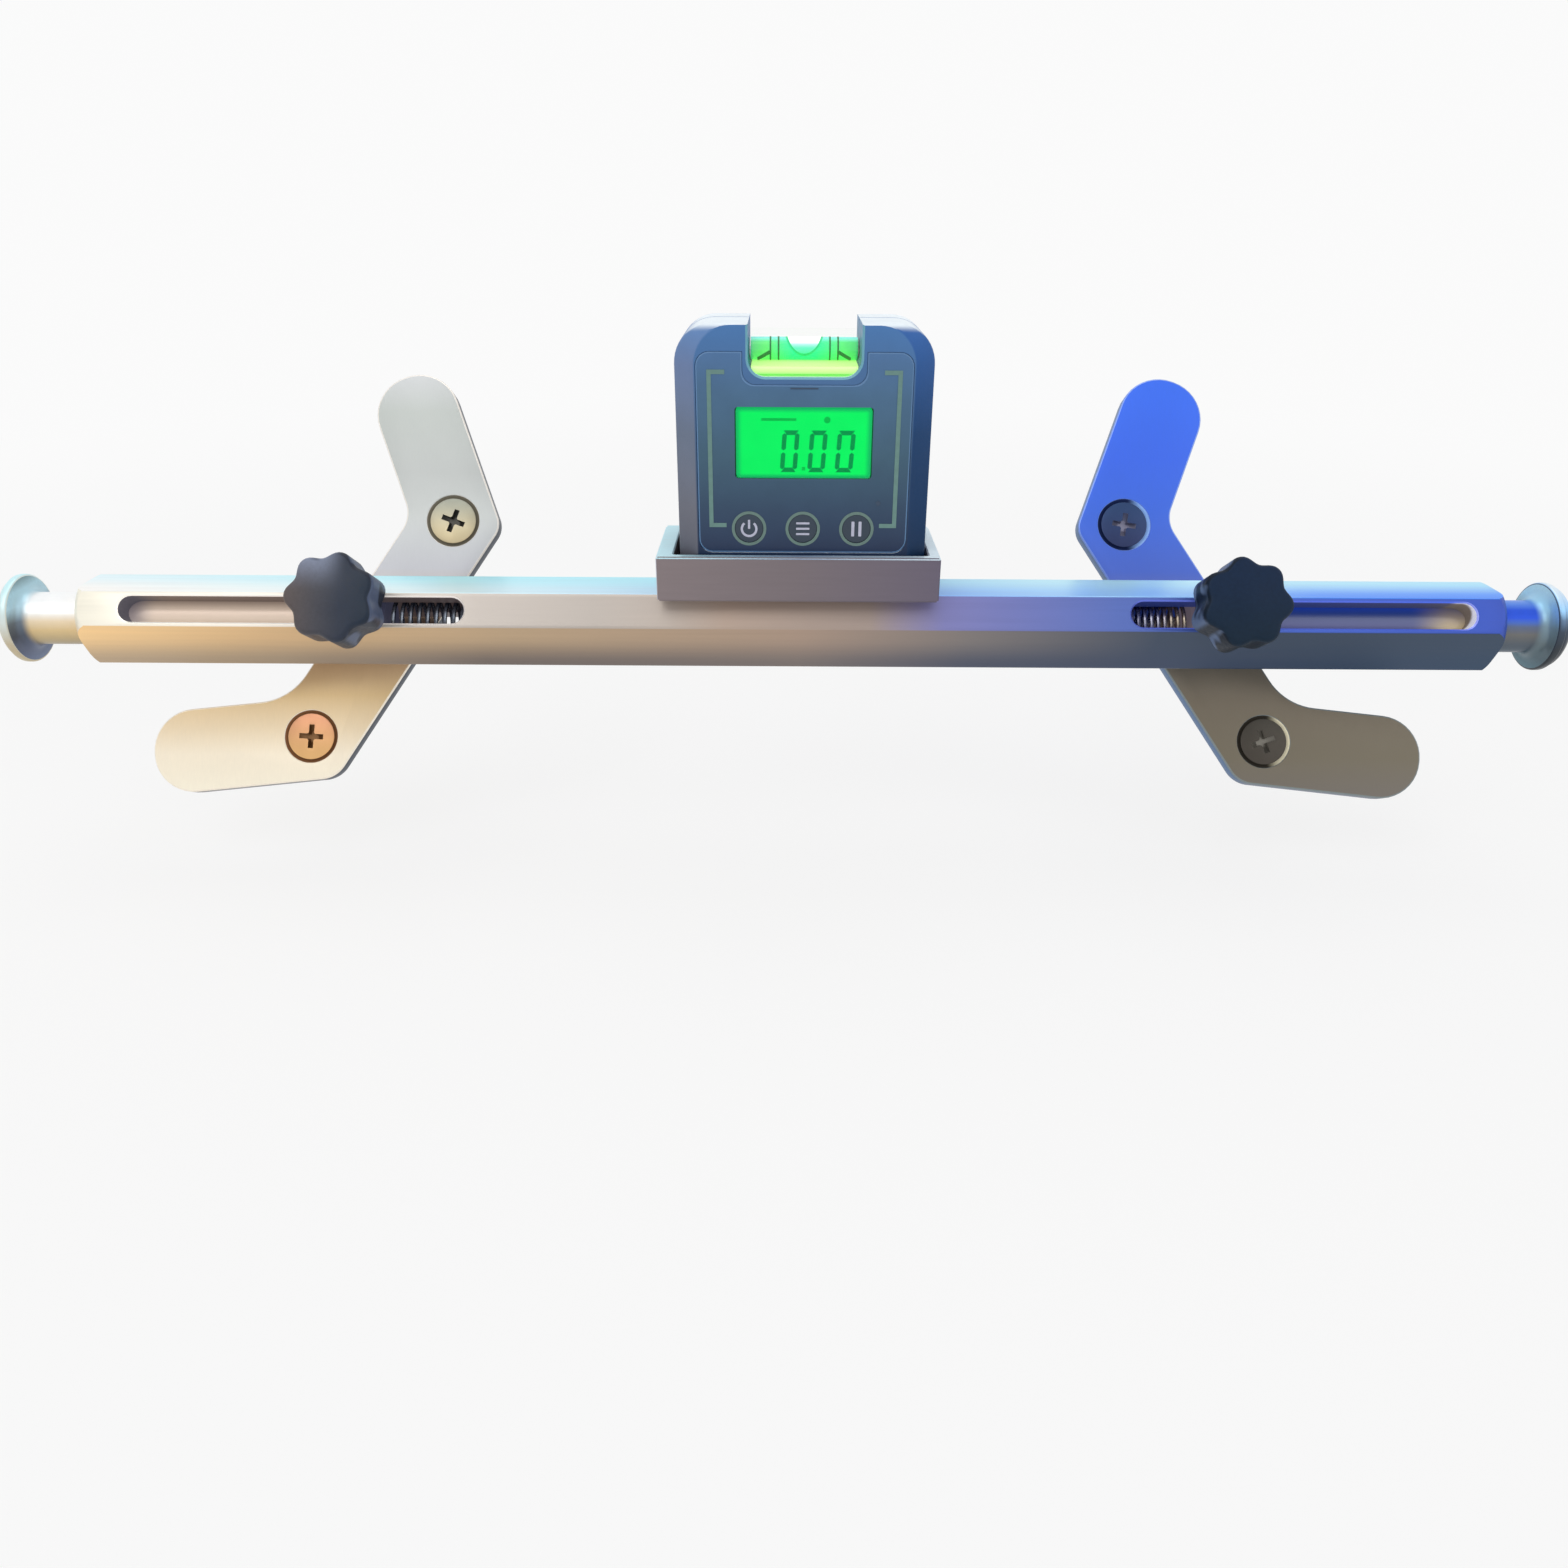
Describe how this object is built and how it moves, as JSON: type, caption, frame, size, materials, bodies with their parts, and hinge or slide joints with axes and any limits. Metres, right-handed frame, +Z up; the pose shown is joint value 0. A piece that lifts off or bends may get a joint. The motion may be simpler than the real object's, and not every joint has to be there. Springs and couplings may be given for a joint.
{
  "type": "steering wheel level",
  "caption": "Hexagonal bar with sprung sliding plungers, clamped swivelling arm plates that grip a steering wheel rim, and a lift-out digital and bubble level box.",
  "frame": {"origin": "on the hexagonal bar's own axis, half way along it", "axes": "+X along the bar to the user's right, -Y towards the user, +Z up; the slotted facets, knobs and arm plates face 30 degrees above -Y"},
  "size_m": [0.4023, 0.0794, 0.1208],
  "materials": {
    "anodised_aluminium": "satin anodised",
    "blued_aluminium": "blue anodised, satin",
    "bright_steel": "turned",
    "spring_steel": "drawn wire",
    "black_nylon": "satin moulded",
    "black_rubber": "matt",
    "navy_plastic": "satin moulded",
    "overlay_film": "matt film",
    "clear_acrylic": "clear",
    "vial_liquid": "tinted liquid",
    "display_green": "lit from behind",
    "board_green": "lacquered",
    "cell_jacket": "printed jacket",
    "nickel": "plated"
  },
  "bodies": {
    "bar": {"hex_bar": "anodised_aluminium", "holder_tray": "anodised_aluminium", "left_tray_screw": "bright_steel", "right_tray_screw": "bright_steel", "left_spring": "spring_steel", "right_spring": "spring_steel"},
    "level": {"level_front_shell": "navy_plastic", "level_back_shell": "navy_plastic", "case_screw_left_upper": "bright_steel", "case_screw_right_upper": "bright_steel", "case_screw_left_lower": "bright_steel", "case_screw_right_lower": "bright_steel", "overlay_panel": "overlay_film", "display_window": "clear_acrylic", "display_glass": "display_green", "backlight": "clear_acrylic", "circuit_board": "board_green", "vial_block": "clear_acrylic", "vial_plug": "navy_plastic", "vial_liquid": "vial_liquid", "lower_cell": "cell_jacket", "upper_cell": "cell_jacket", "left_contact": "nickel", "right_contact": "nickel", "battery_door": "navy_plastic", "left_magnet": "nickel", "right_magnet": "nickel"},
    "power_key": {"key_power": "overlay_film"},
    "menu_key": {"key_menu": "overlay_film"},
    "hold_key": {"key_hold": "overlay_film"},
    "left_slider": {"left_plunger": "anodised_aluminium"},
    "right_slider": {"right_plunger": "anodised_aluminium"},
    "left_clamp_knob": {"left_knob": "black_nylon", "left_knob_stud": "bright_steel"},
    "right_clamp_knob": {"right_knob": "black_nylon", "right_knob_stud": "bright_steel"},
    "left_arm": {"left_arm_plate": "anodised_aluminium", "left_clamp_nut": "bright_steel", "left_upper_screw": "nickel", "left_lower_screw": "nickel", "left_upper_peg": "bright_steel", "left_lower_peg": "bright_steel", "left_upper_sleeve": "black_rubber", "left_lower_sleeve": "black_rubber"},
    "right_arm": {"right_arm_plate": "blued_aluminium", "right_clamp_nut": "bright_steel", "right_upper_screw": "nickel", "right_lower_screw": "nickel", "right_upper_peg": "bright_steel", "right_lower_peg": "bright_steel", "right_upper_sleeve": "black_rubber", "right_lower_sleeve": "black_rubber"}
  },
  "joints": [
    {"name": "level_lift", "type": "slide", "parent": "bar", "child": "level", "axis": [0, 0, 1], "range_m": [0, 0.016]},
    {"name": "power_key_press", "type": "slide", "parent": "level", "child": "power_key", "axis": [0, 1, 0], "range_m": [0, 0.0005], "stiffness_N_per_m": 800},
    {"name": "menu_key_press", "type": "slide", "parent": "level", "child": "menu_key", "axis": [0, 1, 0], "range_m": [0, 0.0005], "stiffness_N_per_m": 800},
    {"name": "hold_key_press", "type": "slide", "parent": "level", "child": "hold_key", "axis": [0, 1, 0], "range_m": [0, 0.0005], "stiffness_N_per_m": 800},
    {"name": "left_slide", "type": "slide", "parent": "bar", "child": "left_slider", "axis": [-1, 0, 0], "range_m": [-0.0138, 0.0547], "deforming": ["left_spring"]},
    {"name": "right_slide", "type": "slide", "parent": "bar", "child": "right_slider", "axis": [1, 0, 0], "range_m": [-0.0093, 0.0592], "deforming": ["right_spring"]},
    {"name": "left_knob_turn", "type": "hinge", "parent": "left_slider", "child": "left_clamp_knob", "pos_m": [-0.1113, 0, 0], "axis": [0, -0.866, 0.5], "range_deg": [0, 540]},
    {"name": "right_knob_turn", "type": "hinge", "parent": "right_slider", "child": "right_clamp_knob", "pos_m": [0.1068, 0, 0], "axis": [0, -0.866, 0.5], "range_deg": [0, 540]},
    {"name": "left_arm_swivel", "type": "hinge", "parent": "left_slider", "child": "left_arm", "pos_m": [-0.1113, 0, 0], "axis": [0, -0.866, 0.5], "range_deg": [-30, 30]},
    {"name": "right_arm_swivel", "type": "hinge", "parent": "right_slider", "child": "right_arm", "pos_m": [0.1068, 0, 0], "axis": [0, -0.866, 0.5], "range_deg": [-30, 30]}
  ]
}
